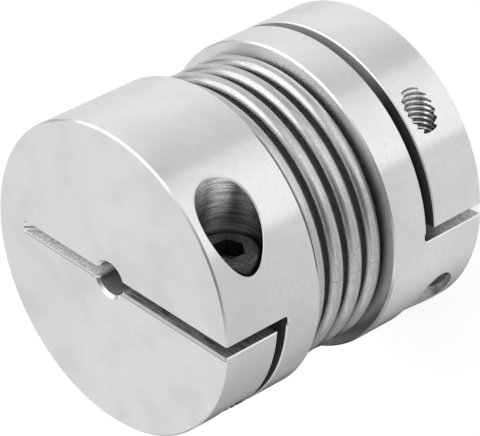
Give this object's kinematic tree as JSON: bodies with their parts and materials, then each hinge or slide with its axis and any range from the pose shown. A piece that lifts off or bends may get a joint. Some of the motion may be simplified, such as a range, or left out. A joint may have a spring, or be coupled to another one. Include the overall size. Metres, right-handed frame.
{
  "type": "metal bellows coupling",
  "caption": "Short metal bellows shaft coupling: two slotted clamp hubs joined by a thin convoluted sleeve, each closed by a cross screw.",
  "frame": {"origin": "centre of the outer face of the rear hub, on the axis of rotation", "axes": "+Z along the axis of rotation from the rear hub to the front hub, +X to the open end of the front hub's long slit, +Y to the head of the front clamp screw"},
  "size_m": [0.056, 0.056, 0.0592],
  "materials": {
    "turned_aluminium": "fine turned, satin",
    "stainless_sheet": "formed sheet, satin bright",
    "black_steel": "black oxide, oiled"
  },
  "bodies": {
    "rear_hub": {"rear_hub": "turned_aluminium"},
    "bellows": {"bellows": "stainless_sheet"},
    "front_hub": {"front_hub": "turned_aluminium"},
    "rear_screw": {"rear_clamp_screw": "black_steel"},
    "front_screw": {"front_clamp_screw": "black_steel"}
  },
  "joints": [
    {"name": "bend_about_x", "type": "hinge", "parent": "rear_hub", "child": "bellows", "pos_m": [0, 0, 0.0296], "axis": [1, 0, 0], "range_deg": [-1.5, 1.5], "stiffness_Nm_per_rad": 20, "deforming": ["bellows"]},
    {"name": "bend_about_y", "type": "hinge", "parent": "bellows", "child": "front_hub", "pos_m": [0, 0, 0.0296], "axis": [0, 1, 0], "range_deg": [-1.5, 1.5], "stiffness_Nm_per_rad": 20, "deforming": ["bellows"]},
    {"name": "rear_screw_turn", "type": "hinge", "parent": "rear_hub", "child": "rear_screw", "pos_m": [0.02025, 0.00138, 0.0073], "axis": [0.068, -0.9977, 0], "range_deg": [0, 720]},
    {"name": "front_screw_turn", "type": "hinge", "parent": "front_hub", "child": "front_screw", "pos_m": [0.0203, 0, 0.0519], "axis": [0, 1, 0], "range_deg": [0, 720]}
  ]
}
